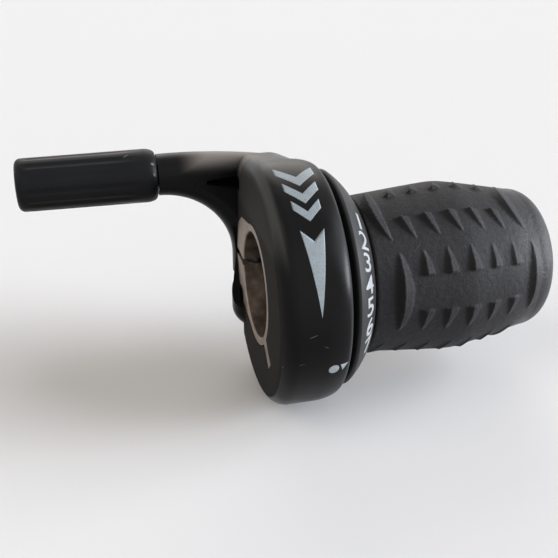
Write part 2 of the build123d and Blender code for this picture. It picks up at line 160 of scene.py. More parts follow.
CREST_BEND = 0.9                 # the pale of wear, dust and painted highlight grows with the change of slope from row to row
DUST_AND_HIGHLIGHT_BEND = 0.25
DUST_AND_HIGHLIGHT_RISE = 0.2                  # the pale of dust and painted highlight in the corner behind a rib lies where it is lower than this
POLISH_AND_SHEEN = (27, 37)                # the rubber's end is polished and painted lighter as a sheen, more and more between these places

# Barrel adjuster
NECK_Y, NECK_Z = (BARREL_LOW + BARREL_HIGH)[1:] / 2
BARREL_R = (BARREL_HIGH - BARREL_LOW)[1] / 2
BARREL_TAPER = 0.17
BARREL_SHOULDER = 1.1            # its rounded end at the neck, across
SHOULDER_LENGTH = 2.4            # and along
BARREL_EDGE = 1.3
FLUTE_COUNT = 12
FLUTE_HALF = 0.95                # half width of a flute
FLUTE_DEPTH = 0.2
FLUTE_START = 1.6                # from the tail
FLUTE_LENGTH = 24.0
FLUTE_FADE = 5                   # they run out over this length towards the neck
SOCKET_R = 2.6
SOCKET_DEPTH = 11.0
SOCKET_EDGE = 0.2                # bevel of its mouth
CABLE_HOLE_R = 1.2
CHAMBER_R = 4.44
CHAMBER_DEPTH = 7.8
BARREL_COLUMNS = 288
BARREL_ROWS = 60                 # along its taper
ROUND_ROWS = 9                   # over each of its rounded ends
COIL_TURNS = 4
COIL_STEPS = 48                  # of one turn
WIRE_R = 0.42
WIRE_SIDES = 12
WIRE_TIP = 0.02                  # radius at the wire's closed ends


def linear(hex_colour):
    """Linear RGBA of an sRGB hex colour."""
    srgb = np.array([int(hex_colour[i:i + 2], 16) for i in (1, 3, 5)]) / 255
    curve = np.where(srgb <= 0.04045, srgb / 12.92, ((srgb + 0.055) / 1.055) ** 2.4)
    return (*curve.tolist(), 1.0)


def shade(colour, factor):
    """A linear colour made darker or lighter by a factor."""
    return (*(factor * np.array(colour[:3])).tolist(), 1.0)


class ShifterSizes(bpy.types.PropertyGroup):
    """Sizes that a user would change."""
    gears: IntProperty(name="Gears", description="Gear numbers on the flange", default=7, min=1, max=12)
    gear_step: FloatProperty(name="Gear step", description="Turn of the grip from one gear to the next",
                             default=radians(12.0), subtype="ANGLE")
    pointer_angle: FloatProperty(name="Pointer", description="Place of the pointer above the front",
                                 default=radians(-15.4), subtype="ANGLE")
    digit_height: FloatProperty(name="Digit height", description="Height of a gear number",
                                default=3.7 * MM, unit="LENGTH")
    print_lift: FloatProperty(name="Print thickness", description="How far a print stands off its surface",
                              default=0.03 * MM, unit="LENGTH")
    rib_first: FloatProperty(name="First rib", description="Height of the inboard ribs",
                             default=1.05 * MM, unit="LENGTH")
    rib_last: FloatProperty(name="Last rib", description="Height of the outboard ribs",
                            default=0.68 * MM, unit="LENGTH")


class ShifterColours(bpy.types.PropertyGroup):
    """Base colours that a user would change."""
    nylon: FloatVectorProperty(name="Housing", description="Moulded nylon of the housing",
                               default=linear("#0b0b0c"), size=4, min=0, max=1, subtype="COLOR")
    core: FloatVectorProperty(name="Core", description="Moulded nylon of the number flange",
                              default=linear("#1b1b1d"), size=4, min=0, max=1, subtype="COLOR")
    rubber: FloatVectorProperty(name="Rubber", description="Moulded grip rubber",
                                default=linear("#222224"), size=4, min=0, max=1, subtype="COLOR")
    adjuster: FloatVectorProperty(name="Adjuster", description="Moulded barrel adjuster",
                                  default=linear("#0e0f11"), size=4, min=0, max=1, subtype="COLOR")
    alloy: FloatVectorProperty(name="Clamp", description="Cast alloy of the clamp ring",
                               default=linear("#8d8076"), size=4, min=0, max=1, subtype="COLOR")
    number: FloatVectorProperty(name="Numbers", description="Printed gear numbers",
                                default=linear("#a2a6a8"), size=4, min=0, max=1, subtype="COLOR")
    silver: FloatVectorProperty(name="Silver print", description="Printed marks on the housing",
                                default=linear("#8e979c"), size=4, min=0, max=1, subtype="COLOR")


def sizes():
    """The scene's sizes."""
    return bpy.context.scene.shifter_sizes


def colours():
    """The scene's colours."""
    return bpy.context.scene.shifter_colours


# Meshes

def mesh_object(name, points, faces):
    """A smooth object from points in millimetres and lists of faces, with its place in its mesh."""
    mesh = bpy.data.meshes.new(name)
    mesh.from_pydata(np.asarray(points) * MM, [], faces)
    mesh.validate()
    mesh.shade_smooth()
    made = bpy.data.objects.new(name, mesh)
    bpy.context.scene.collection.objects.link(made)
    return made


def grid_faces(rows, columns, close_rows=False, close_columns=False):
    """Quads of a grid of points; a closed direction joins its last line to its first."""
    r = np.arange(rows if close_rows else rows - 1)[:, None]
    c = np.arange(columns if close_columns else columns - 1)[None, :]
    r1, c1 = (r + 1) % rows, (c + 1) % columns
    corners = [r * columns + c, r1 * columns + c, r1 * columns + c1, r * columns + c1]
    return np.stack(np.broadcast_arrays(*corners), -1).reshape(-1, 4)


def around_bar(x, radius, angle):
    """Points at a radius from the bar axis: X as given, Y and Z from the angle above the front."""
    turn = np.radians(angle)
    x, radius, turn = np.broadcast_arrays(x, radius, turn)
    return np.stack([x, -radius * np.cos(turn), radius * np.sin(turn)], -1)


def ring_object(name, points):
    """A closed surface from a grid of points: its rows run round a ring and its columns close too."""
    rows, columns = points.shape[:2]
    return mesh_object(name, points.reshape(-1, 3), grid_faces(rows, columns, True, True).tolist())


def welded_copy(node, name, crease):
    """A copy of a solid's mesh with its loose triangles joined; faces that turn by less than crease degrees
    shade as one surface."""
    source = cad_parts[node].data
    corners = np.empty(len(source.vertices) * 3, np.float32)
    source.vertices.foreach_get("co", corners)
    corners = corners.reshape(-1, 3)
    source.calc_loop_triangles()
    triangles = np.empty(len(source.loop_triangles) * 3, np.int32)
    source.loop_triangles.foreach_get("vertices", triangles)
    _, first, same = np.unique(np.round(corners / WELD).astype(np.int64), axis=0, return_index=True,
                               return_inverse=True)
    faces = same.reshape(-1)[triangles].reshape(-1, 3)
    whole = (faces[:, 0] != faces[:, 1]) & (faces[:, 1] != faces[:, 2]) & (faces[:, 2] != faces[:, 0])
    made = mesh_object(name, corners[first] / MM, faces[whole].tolist())
    made.data.set_sharp_from_angle(angle=radians(crease))
    return made


def thicken(made, depth):
    """Gives a sheet a thickness, inwards."""
    solid = made.modifiers.new("thickness", "SOLIDIFY")
    solid.thickness = depth * MM
    solid.offset = -1


def dress(made, body, slot, material, *nodes):
    """Puts a finished piece on its body, with its material and the solids that it stands for. Its slot
    is not used.
    """
    made.data.materials.append(material)
    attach(made, body)
    if nodes:
        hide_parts(*nodes)


# Materials

NOISE = "ShaderNodeTexNoise"
RANGE = "ShaderNodeMapRange"
MIX = "ShaderNodeMix"            # for colours its inputs are 0 factor, 6 first, 7 second, and its output is 2
BUMP = "ShaderNodeBump"
VECTOR = "ShaderNodeVectorMath"
MATH = "ShaderNodeMath"
SHADER = "ShaderNodeBsdfPrincipled"
OUTPUT = "ShaderNodeOutputMaterial"
MASK_SOFT = 0.1                  # width of the soft edge round the bore


def add(tree, kind, inputs=None, out=0, **settings):
    """Adds a node with its settings. An input is a value, or another node's output, which is linked to it.
    Gives the output that is asked for."""
    made = tree.nodes.new(kind)
    for key, value in settings.items():
        setattr(made, key, value)
    for key, value in (inputs or {}).items():
        if isinstance(value, bpy.types.NodeSocket):
            tree.links.new(value, made.inputs[key])
        else:
            made.inputs[key].default_value = value
    return made.outputs[out] if len(made.outputs) else None


def blank(name):
    """An empty material, its node tree and the Object coordinates of its points."""
    material = bpy.data.materials.new(name)
    material.use_nodes = True
    material.node_tree.nodes.clear()
    return material, material.node_tree, add(material.node_tree, "ShaderNodeTexCoord", out="Object")


def lumps(size_mm):
    """Scale of a noise whose lumps are about size_mm across."""
    return 1 / (size_mm * MM)


def scratch_mask(tree, where, middle, along, length, width):
    """1 on a straight scratch and 0 off it: near its line, and between its two ends."""
    away = add(tree, VECTOR, {0: where, 1: Vector(middle) * MM}, operation="SUBTRACT")
    run = add(tree, VECTOR, {0: away, 1: along}, out="Value", operation="DOT_PRODUCT")
    side = add(tree, VECTOR, {0: away, 1: along}, operation="CROSS_PRODUCT")
    off = add(tree, VECTOR, {0: side}, out="Value", operation="LENGTH")
    reach = add(tree, MATH, {0: run}, operation="ABSOLUTE")
    within = add(tree, RANGE, {"Value": reach, "From Min": 0.2 * length * MM, "From Max": 0.5 * length * MM,
                               "To Min": 1.0, "To Max": 0.0})
    near = add(tree, RANGE, {"Value": off, "From Min": 0.2 * width * MM, "From Max": 0.5 * width * MM,
                             "To Min": 1.0, "To Max": 0.0})
    return add(tree, MATH, {0: within, 1: near}, operation="MULTIPLY")


def box_mask(tree, where, low, high, soft):
    """1 inside an upright box and 0 outside it, over margins that are soft by so much along each axis."""
    low, high = Vector(low) * MM, Vector(high) * MM
    away = add(tree, VECTOR, {0: where, 1: (low + high) / 2}, operation="SUBTRACT")
    away = add(tree, VECTOR, {0: away}, operation="ABSOLUTE")
    past = add(tree, VECTOR, {0: away, 1: (high - low) / 2}, operation="SUBTRACT")
    past = add(tree, VECTOR, {0: past, 1: Vector(soft) * MM}, operation="DIVIDE")
    split = add(tree, "ShaderNodeSeparateXYZ", {0: past}).node.outputs
    most = add(tree, MATH, {0: split[0], 1: split[1]}, operation="MAXIMUM")
    most = add(tree, MATH, {0: most, 1: split[2]}, operation="MAXIMUM")
    return add(tree, RANGE, {"Value": most, "From Min": -1.0, "From Max": 0.0, "To Min": 1.0, "To Max": 0.0},
               interpolation_type="SMOOTHSTEP")


def bore_mask(tree, where, radius):
    """1 closer to the bar axis than a radius and 0 further out."""
    across = add(tree, VECTOR, {0: where, 1: (0, 1, 1)}, operation="MULTIPLY")
    away = add(tree, VECTOR, {0: across}, out="Value", operation="LENGTH")
    return add(tree, RANGE, {"Value": away, "From Min": radius * MM, "From Max": (radius + MASK_SOFT) * MM,
                             "To Min": 1.0, "To Max": 0.0})


def moulded_nylon(name, colour, rough, specular, scratches=(), zones=(), bore=0.0):
    """Glass-filled nylon from an eroded mould: satin, with clouds in its gloss where hands rub it, and pale
    scratches where it has been knocked. Each zone is a box with its own colour and roughness, for a matt face
    and for painted highlight, reflection and shade. Inside the bore, where the bar goes, it is dull."""
    material, tree, where = blank(name)
    cloud = add(tree, NOISE, {"Vector": where, "Scale": lumps(9.0), "Detail": 3.0})
    tone = add(tree, RANGE, {"Value": cloud, "From Min": 0.35, "From Max": 0.65})
    base = add(tree, MIX, {0: tone, 6: shade(colour, 0.85), 7: shade(colour, 1.2)}, out=2, data_type="RGBA")
    for middle, along, length, width, strength in scratches:
        mark = scratch_mask(tree, where, middle, along, length, width)
        mark = add(tree, MATH, {0: mark, 1: strength}, operation="MULTIPLY")
        base = add(tree, MIX, {0: mark, 6: base, 7: linear("#a09c92")}, out=2, data_type="RGBA")
    gloss = add(tree, RANGE, {"Value": cloud, "From Min": 0.35, "From Max": 0.65,
                              "To Min": rough - 0.05, "To Max": rough + 0.07})
    for low, high, soft, tint, finish in zones:
        within = box_mask(tree, where, low, high, soft)
        gloss = add(tree, MIX, {0: within, 2: gloss, 3: finish}, data_type="FLOAT")
        base = add(tree, MIX, {0: within, 6: base, 7: linear(tint)}, out=2, data_type="RGBA")
    if bore:
        gloss = add(tree, MIX, {0: bore_mask(tree, where, bore), 2: gloss, 3: 0.9}, data_type="FLOAT")
    # the mould's grain is about 0.1 mm and is drawn coarser, so that it shows
    fine = add(tree, NOISE, {"Vector": where, "Scale": lumps(0.3), "Detail": 2.0})
    relief = add(tree, BUMP, {"Height": fine, "Distance": 0.004 * MM})
    shader = add(tree, SHADER, {"Base Color": base, "Roughness": gloss, "Normal": relief, "IOR": 1.5,
                                "Specular IOR Level": specular})
    add(tree, OUTPUT, {"Surface": shader})
    return material


def moulded_rubber(colour):
    """Soft thermoplastic rubber: dull and dark, greyed by hands, with painted shade on the steep sides of its
    ribs, in the corners before them and on their backs; with pale crests and corners behind the ribs, partly
    wear and dust and partly painted highlight; with a few specks of dust, and a polished end painted lighter
    as a sheen."""
    material, tree, where = blank("moulded_rubber")
    cloud = add(tree, NOISE, {"Vector": where, "Scale": lumps(5.0), "Detail": 4.0})
    tone = add(tree, RANGE, {"Value": cloud, "From Min": 0.3, "From Max": 0.7})
    base = add(tree, MIX, {0: tone, 6: shade(colour, 0.8), 7: shade(colour, 1.2)}, out=2, data_type="RGBA")
    wrinkles = add(tree, NOISE, {"Vector": where, "Scale": lumps(1.1), "Detail": 6.0, "Roughness": 0.7})
    film = add(tree, RANGE, {"Value": wrinkles, "From Min": 0.45, "From Max": 0.7, "To Max": 0.4})
    base = add(tree, MIX, {0: film, 6: base, 7: shade(colour, 2.4)}, out=2, data_type="RGBA")
    place = add(tree, "ShaderNodeSeparateXYZ", {0: where})
    # towards the end the rubber is polished and its colour is painted lighter, a painted sheen
    end = add(tree, RANGE, {"Value": place, "From Min": (GRIP_X + POLISH_AND_SHEEN[0]) * MM,
                            "From Max": (GRIP_X + POLISH_AND_SHEEN[1]) * MM}, interpolation_type="SMOOTHSTEP")
    base = add(tree, MIX, {0: end, 6: base, 7: shade(colour, 2.4)}, out=2, data_type="RGBA")
    # painted shade: the steep sides of the ribs, the corners before them and their backs go nearly black
    steep = add(tree, "ShaderNodeAttribute", out="Fac", attribute_name="rib_painted_shade")
    shaded = add(tree, MIX, {0: steep, 6: base, 7: shade(colour, 0.16)}, out=2, data_type="RGBA")
    specks = add(tree, NOISE, {"Vector": where, "Scale": lumps(0.35), "Detail": 3.0})
    # pale on the crests and in the corners behind the ribs: partly wear and dust, partly painted highlight
    crest = add(tree, "ShaderNodeAttribute", out="Fac", attribute_name="rib_wear_and_highlight")
    patchy = add(tree, RANGE, {"Value": specks, "From Min": 0.35, "From Max": 0.65, "To Min": 0.2})
    worn_and_highlit = add(tree, MATH, {0: crest, 1: patchy}, operation="MULTIPLY")
    worn = add(tree, MIX, {0: worn_and_highlit, 6: shaded, 7: shade(colour, 4.5)}, out=2, data_type="RGBA")
    dust = add(tree, RANGE, {"Value": specks, "From Min": 0.68, "From Max": 0.76, "To Max": 0.22})
    dusty = add(tree, MIX, {0: dust, 6: worn, 7: linear("#807d78")}, out=2, data_type="RGBA")
    dull = add(tree, RANGE, {"Value": end, "To Min": 0.62, "To Max": 0.36})
    gloss = add(tree, RANGE, {"Value": cloud, "From Min": 0.3, "From Max": 0.7,
                              "To Min": -0.06, "To Max": 0.06})
    gloss = add(tree, MATH, {0: dull, 1: gloss}, operation="ADD")
    grain = add(tree, BUMP, {"Height": specks, "Distance": 0.02 * MM})
    relief = add(tree, BUMP, {"Height": wrinkles, "Distance": 0.25 * MM, "Normal": grain})
    shader = add(tree, SHADER, {"Base Color": dusty, "Roughness": gloss, "Normal": relief, "IOR": 1.5,
                                "Specular IOR Level": 0.18})
    add(tree, OUTPUT, {"Surface": shader})
    return material


def cast_alloy(colour):
    """Die-cast alloy, bare: warm grey metal, slightly rough from the mould and dulled in patches, with
    painted shade and mottled grime on the wall of the bore."""
    material, tree, where = blank("cast_alloy")
    cloud = add(tree, NOISE, {"Vector": where, "Scale": lumps(2.2), "Detail": 4.0})
    tone = add(tree, RANGE, {"Value": cloud, "From Min": 0.35, "From Max": 0.65})
    base = add(tree, MIX, {0: tone, 6: shade(colour, 0.75), 7: shade(colour, 1.1)}, out=2, data_type="RGBA")
    # painted shade on the wall of the bore, dark brown and mottled like grime
    wall = bore_mask(tree, where, BORE_SHADE_R)
    film = add(tree, RANGE, {"Value": cloud, "From Min": 0.3, "From Max": 0.7,
                             "To Min": 1.0, "To Max": 0.65})
    shade_and_grime = add(tree, MATH, {0: wall, 1: film}, operation="MULTIPLY")
    base = add(tree, MIX, {0: shade_and_grime, 6: base, 7: linear("#50443b")}, out=2, data_type="RGBA")
    gloss = add(tree, RANGE, {"Value": cloud, "From Min": 0.35, "From Max": 0.65,
                              "To Min": 0.5, "To Max": 0.62})
    # the casting's grain is about 0.1 mm and is drawn coarser, so that it shows
    fine = add(tree, NOISE, {"Vector": where, "Scale": lumps(0.2), "Detail": 2.0})
    relief = add(tree, BUMP, {"Height": fine, "Distance": 0.006 * MM})
    shader = add(tree, SHADER, {"Base Color": base, "Roughness": gloss, "Normal": relief, "Metallic": 1.0})
    add(tree, OUTPUT, {"Surface": shader})
    return material


def bare_steel(name, colour, rough):
    """Drawn, rolled or turned steel, with a slight change of gloss along it."""
    material, tree, where = blank(name)
    cloud = add(tree, NOISE, {"Vector": where, "Scale": lumps(1.2), "Detail": 3.0})
    base = add(tree, MIX, {0: cloud, 6: shade(colour, 0.8), 7: shade(colour, 1.15)}, out=2, data_type="RGBA")
    gloss = add(tree, RANGE, {"Value": cloud, "From Min": 0.35, "From Max": 0.65,
                              "To Min": rough - 0.06, "To Max": rough + 0.08})
    shader = add(tree, SHADER, {"Base Color": base, "Roughness": gloss, "Metallic": 1.0})
    add(tree, OUTPUT, {"Surface": shader})
    return material


def liner_plastic():
    """Natural slippery plastic tube: milky and waxy."""
    material, tree, where = blank("liner_plastic")
    cloud = add(tree, NOISE, {"Vector": where, "Scale": lumps(3.0), "Detail": 2.0})
    base = add(tree, MIX, {0: cloud, 6: linear("#d2d0c6"), 7: linear("#e6e4dc")}, out=2, data_type="RGBA")
    gloss = add(tree, RANGE, {"Value": cloud, "To Min": 0.3, "To Max": 0.45})
    shader = add(tree, SHADER, {"Base Color": base, "Roughness": gloss, "IOR": 1.38})
    add(tree, OUTPUT, {"Surface": shader})
    return material


def printed_ink(name, colour, ground, worn):
    """Pad-printed ink: even colour with small specks rubbed through to the dark plastic."""
    material, tree, where = blank(name)
    cloud = add(tree, NOISE, {"Vector": where, "Scale": lumps(1.5), "Detail": 2.0})
    ink = add(tree, MIX, {0: cloud, 6: shade(colour, 0.85), 7: shade(colour, 1.1)}, out=2, data_type="RGBA")
    fine = add(tree, NOISE, {"Vector": where, "Scale": lumps(0.22), "Detail": 4.0})
    specks = add(tree, RANGE, {"Value": fine, "From Min": worn - 0.1, "From Max": worn, "To Min": 0.8,
                               "To Max": 0.0})
    base = add(tree, MIX, {0: specks, 6: ink, 7: ground[:]}, out=2, data_type="RGBA")
    gloss = add(tree, RANGE, {"Value": cloud, "To Min": 0.4, "To Max": 0.55})
    shader = add(tree, SHADER, {"Base Color": base, "Roughness": gloss, "IOR": 1.5,
                                "Specular IOR Level": 0.3})
    add(tree, OUTPUT, {"Surface": shader})
    return material


# Housing

def cup_radius(x):
    """Radius of the housing's wall: a cylinder with a quarter circle at the inboard edge and a quarter
    ellipse at the rim."""
    inboard = np.clip(FACE_X + FACE_ROUND - x, 0, FACE_ROUND)
    outboard = np.clip((x - RIM_X) / RIM_LENGTH + 1, 0, 1)
    return (CUP_R - FACE_ROUND + np.sqrt(FACE_ROUND ** 2 - inboard ** 2)
            - RIM_FALL + RIM_FALL * np.sqrt(1 - outboard ** 2))


def on_cup(x, angle, lift=0.0):
    """Points on the housing's wall at X and an angle above the front."""
    return around_bar(x, cup_radius(np.asarray(x)) + lift, angle)


class SHIFTER_OT_housing(bpy.types.Operator):
    """Dress the moulded housing and its bottom cover"""
    bl_idname = "shifter.housing"
    bl_label = "Housing"

    # X, angle, direction, length, width and strength of each scratch
    SCRATCHES = ((0.15, -15.0, (0.97, -0.2, 0.1), 1.5, 0.2, 0.9),
                 (5.35, 2.7, (0.95, 0.0, 0.3), 1.9, 0.12, 0.4),
                 (7.9, -3.2, (0.9, 0.0, -0.44), 1.1, 0.1, 0.35),
                 (3.0, -11.0, (0.98, 0.0, 0.2), 2.4, 0.12, 0.25))
    # lowest and highest corner, soft margins, colour and roughness of the matt inboard face, tinted warm as a
    # painted reflection; the painted highlight on its rounded edge and on the rim; the painted highlight and
    # dust on the top of the horn; and the painted shade in its slot
    ZONES = (((FACE_X - 0.2, -26, -26), (FACE_X + 0.4, 16, 26), (0.1, 0.1, 0.1), "#211f1d", 0.85),
             ((FACE_X - 0.3, -30, 12), (1.9, 15, 30), (1.1, 3, 9), "#4a4a4a", 0.42),
             ((12.5, -30, -30), (14.4, 30, 30), (0.8, 1, 1), "#2f3032", 0.4),
             ((-13, 12, NECK_Z + 1), (8, 30, NECK_Z + 12), (8, 3, 3.5), "#7c7671", 0.45),
             (SLOT_LOW, SLOT_HIGH, (0.1, 0.1, 0.1), "#040404", 1.0))

    def execute(self, context):
        scratches = [(on_cup(x, angle).tolist(), Vector(along).normalized(), *rest)
                     for x, angle, along, *rest in self.SCRATCHES]
        nylon = moulded_nylon("moulded_nylon_housing", colours().nylon, rough=0.3, specular=0.1,
                              scratches=scratches, zones=self.ZONES, bore=DULL_R)
        for node, name in (("housing", "housing_shell"), ("retaining_cover", "bottom_cover")):
            dress(welded_copy(node, name, CREASE), "housing", "housing_plastic", nylon, node)
        return {"FINISHED"}


class SHIFTER_OT_clamp(bpy.types.Operator):
    """Dress the clamp ring and the two screws"""
    bl_idname = "shifter.clamp"
    bl_label = "Clamp and screws"

    def execute(self, context):
        alloy = cast_alloy(colours().alloy)
        dress(welded_copy("clamp_ring", "clamp", CREASE), "housing", "clamp_metal", alloy, "clamp_ring")
        steel = bare_steel("blackened_steel", linear("#3c3c3f"), 0.38)
        for node, name in (("clamp_screw", "clamp_bolt"), ("cover_screw", "cover_bolt")):
            dress(welded_copy(node, name, CREASE), "housing", "screw_steel", steel, node)
        return {"FINISHED"}


class SHIFTER_OT_inside(bpy.types.Operator):
    """Dress the liner and the click spring inside the housing"""
    bl_idname = "shifter.inside"
    bl_label = "Inner pieces"

    def execute(self, context):
        strip = bare_steel("spring_steel_strip", linear("#9a9a9c"), 0.28)
        leaf = welded_copy("detent_spring", "click_spring", STRIP_CREASE)
        dress(leaf, "housing", "spring_steel", strip, "detent_spring")
        tube = welded_copy("cable_liner", "liner_tube", CREASE)
        dress(tube, "housing", "liner_plastic", liner_plastic(), "cable_liner")
        return {"FINISHED"}


class SHIFTER_OT_prints(bpy.types.Operator):
    """Print the silver chevrons, wedge and pointer on the housing"""
    bl_idname = "shifter.prints"
    bl_label = "Silver prints"

    MIDDLE = 7.0                     # X of the chevrons' points
    SLANT = 2.3                      # degrees that a chevron's arm rises for each millimetre
    CHEVRONS = ((71.0, 3.9, 6.5), (60.5, 3.3, 5.5), (51.5, 2.7, 4.8))   # point, half width, thickness
    WEDGE = (42.5, 2.3, 10.5)        # top point, half width, tip
    DOT = (9.75, -16.3, 1.05)        # X, angle, radius
    TICK = ((11.0, -14.2), (12.65, -14.5), (11.55, -18.0))   # X and angle of its corners
    ACROSS, ALONG = 21, 25           # points over each print

    def chevron(self, across, along, point, half, thick):
        """A band that follows a V: its lower edge rises from the point with the distance from the middle."""
        side = half * across
        return self.MIDDLE + side, point + self.SLANT * np.abs(side) + thick * along

    def wedge(self, across, along, top, half, tip):
        """A blade whose top edge is a V and whose width falls evenly to nothing at its tip."""
        side = half * across
        start = top + self.SLANT * np.abs(side)
        return self.MIDDLE + side * along, tip + (start - tip) * along

    def dot(self, across, along, x, angle, radius):
        """A disc: a square grid drawn in until its edge is a circle."""
        u, v = across, 2 * along - 1
        flat = u * np.sqrt(1 - v ** 2 / 2), v * np.sqrt(1 - u ** 2 / 2)
        return x + radius * flat[0], angle + np.degrees(radius * flat[1] / CUP_R)

    def tick(self, across, along, back, tip, low):
        """A triangle: lines from one corner to the opposite side."""
        share = (across + 1) / 2
        return tuple(tip[i] + along * (back[i] + share * (low[i] - back[i]) - tip[i]) for i in (0, 1))

    def execute(self, context):
        across, along = np.meshgrid(np.linspace(-1, 1, self.ACROSS), np.linspace(0, 1, self.ALONG),
                                    indexing="ij")
        places = [self.chevron(across, along, *size) for size in self.CHEVRONS]
        places += [self.wedge(across, along, *self.WEDGE), self.dot(across, along, *self.DOT),
                   self.tick(across, along, *self.TICK)]
        lift = sizes().print_lift / MM
        points = np.stack([on_cup(x, angle, lift) for x, angle in places])
        one = grid_faces(*across.shape)
        faces = (one[None] + (np.arange(len(places)) * across.size)[:, None, None]).reshape(-1, 4)
        made = mesh_object("silver_marks", points.reshape(-1, 3), faces.tolist())
        thicken(made, 2 * lift)
        ink = printed_ink("printed_silver_ink", colours().silver, colours().nylon, 0.4)
        dress(made, "housing", "housing_plastic", ink)
        return {"FINISHED"}


# Grip

def flange_radius(x):
    """Radius of the number face: the circle through its two ends and a crown raised off their chord."""
    ends = np.array([[FLANGE_X, FLANGE_R], [GRIP_X, FLANGE_FOOT_R]])
    chord = ends[1] - ends[0]
    length = np.hypot(*chord)
    outward = np.array([-chord[1], chord[0]]) / length
    bend = (length ** 2 / 4 + FLANGE_CROWN ** 2) / (2 * FLANGE_CROWN)
    centre = ends.mean(0) - outward * (bend - FLANGE_CROWN)
    return centre[1] + np.sqrt(bend ** 2 - (x - centre[0]) ** 2)


def digit_mesh(text, height):
    """Flat mesh of one numeral, centred, height tall, cut finely enough to bend round the flange."""
    curve = bpy.data.curves.new("digit", "FONT")
    curve.body = text
    curve.offset = DIGIT_BOLD
    curve.resolution_u = 6
    holder = bpy.data.objects.new("digit", curve)
    bpy.context.scene.collection.objects.link(holder)
    flat = bpy.data.meshes.new_from_object(holder.evaluated_get(bpy.context.evaluated_depsgraph_get()))
    bpy.data.objects.remove(holder)
    bpy.data.curves.remove(curve)
    work = bmesh.new()
    work.from_mesh(flat)
    bpy.data.meshes.remove(flat)
    for _ in range(DIGIT_CUTS):
        bmesh.ops.triangulate(work, faces=work.faces)
        long_edges = [e for e in work.edges if e.calc_length() > DIGIT_EDGE]
        bmesh.ops.subdivide_edges(work, edges=long_edges, cuts=1)
    bmesh.ops.triangulate(work, faces=work.faces)
    points = np.array([v.co for v in work.verts])[:, :2]
    faces = np.array([[v.index for v in f.verts] for f in work.faces])
    work.free()
    low, high = points.min(0), points.max(0)
    return (points - (low + high) / 2) * height / (high[1] - low[1]), faces


class SHIFTER_OT_core(bpy.types.Operator):
    """Dress the grip's core and print the gear numbers on its flange"""
    bl_idname = "shifter.core"
    bl_label = "Core and numbers"

    def execute(self, context):
        nylon = moulded_nylon("moulded_nylon_core", colours().core, rough=0.5, specular=0.36, bore=DULL_R)
        core = welded_copy("grip_core", "turning_core", TURNED_CREASE)
        dress(core, "grip", "core_plastic", nylon, "grip_core")
        size = sizes()
        lift = size.print_lift / MM
        points, faces, count = [], [], 0
        for gear in range(1, size.gears + 1):
            flat, triangles = digit_mesh(str(gear), size.digit_height / MM)
            x = DIGIT_X + flat[:, 0]
            angle = degrees(size.pointer_angle + (size.gears - gear) * size.gear_step)
            angle = angle + np.degrees(flat[:, 1] / flange_radius(DIGIT_X))
            points.append(around_bar(x, flange_radius(x) + lift, angle))
            faces.append(triangles + count)
            count += len(flat)
        made = mesh_object("gear_numbers", np.concatenate(points), np.concatenate(faces).tolist())
        thicken(made, 2 * lift)
        ink = printed_ink("printed_white_ink", colours().number, colours().core, 0.38)
        dress(made, "grip", "core_plastic", ink)
        return {"FINISHED"}


def bare_rubber(along):
    """Radius of the rubber without ribs: the soft minimum of two tapers that meet at the belly."""
    first = GRIP_START_R + (BELLY[1] - GRIP_START_R) / BELLY[0] * along
    second = BELLY[1] + (TAIL[1] - BELLY[1]) / (TAIL[0] - BELLY[0]) * (along - BELLY[0])
    return (first + second) / 2 - np.sqrt(((first - second) / 2) ** 2 + BELLY_SOFT ** 2)


def rib_rise(along, angle, first, last):
    """Height of the ribs over the bare rubber: each rib is the rim of a sharp disc set off the bar axis, so
    it comes to a point at both ends; the disc is bowed along the bar as a parabola; the bare band takes the
    middle out of the inner ribs, and the moulded edges are softened by less where a rib is low. Heights
    change evenly from the first rib to the last."""
    bare = bare_rubber(along)
    best = np.full(np.broadcast_shapes(along.shape, angle.shape), NO_RIB)
    soft = np.zeros(best.shape)
    for middle, shift, inboard, outboard, bow in PATCHES:
        turn = (angle - middle + 180) % 360 - 180
        bent = bow * (1 - np.minimum((turn / RIB_SPAN) ** 2, BOW_LIMIT))
        for k in range(RIB_COUNT):
            out = k / (RIB_COUNT - 1)
            height = (inboard + (outboard - inboard) * out) * (first + (last - first) * out)
            crest_x = RIB_FIRST + shift + k * RIB_PITCH + bent
            floor, foot_in, foot_out = (bare_rubber(crest_x + step) for step in (0, -RIB_FRONT, RIB_BACK))
            lean = (foot_out - foot_in) / (RIB_BACK + RIB_FRONT)
            chord = floor * np.sin(radians(RIB_SPAN))
            sagitta = floor + height - floor * np.cos(radians(RIB_SPAN))
            disc = (chord ** 2 + sagitta ** 2) / (2 * sagitta)
            offset = floor + height - disc
            d = along - crest_x
            rim = disc + lean * d - height * np.where(d < 0, -d / RIB_FRONT, d / RIB_BACK)
            swing = offset * np.cos(np.radians(turn))
            drift = (offset * np.sin(np.radians(turn))) ** 2
            reach = swing + np.sqrt(np.maximum(rim ** 2 - drift, 0)) - bare
            crest = swing + np.sqrt(np.maximum(disc ** 2 - drift, 0)) - floor
            near = (np.abs(turn) < RIB_REACH * RIB_SPAN) & (np.abs(d) < RIB_PITCH / 2)
            if 0 < k < RIB_COUNT - 1:
                band = np.clip((BAND_SPAN + BAND_SOFT - np.abs(turn)) / (2 * BAND_SOFT), 0, 1)
                reach = reach - BAND_DEPTH * band * band * (3 - 2 * band)
            higher = near & (reach > best)
            best = np.where(higher, reach, best)
            soft = np.where(higher, RIB_SOFT * np.clip(2 * crest / height, 0, 1), soft)
    return (best + np.sqrt(best ** 2 + soft ** 2)) / 2


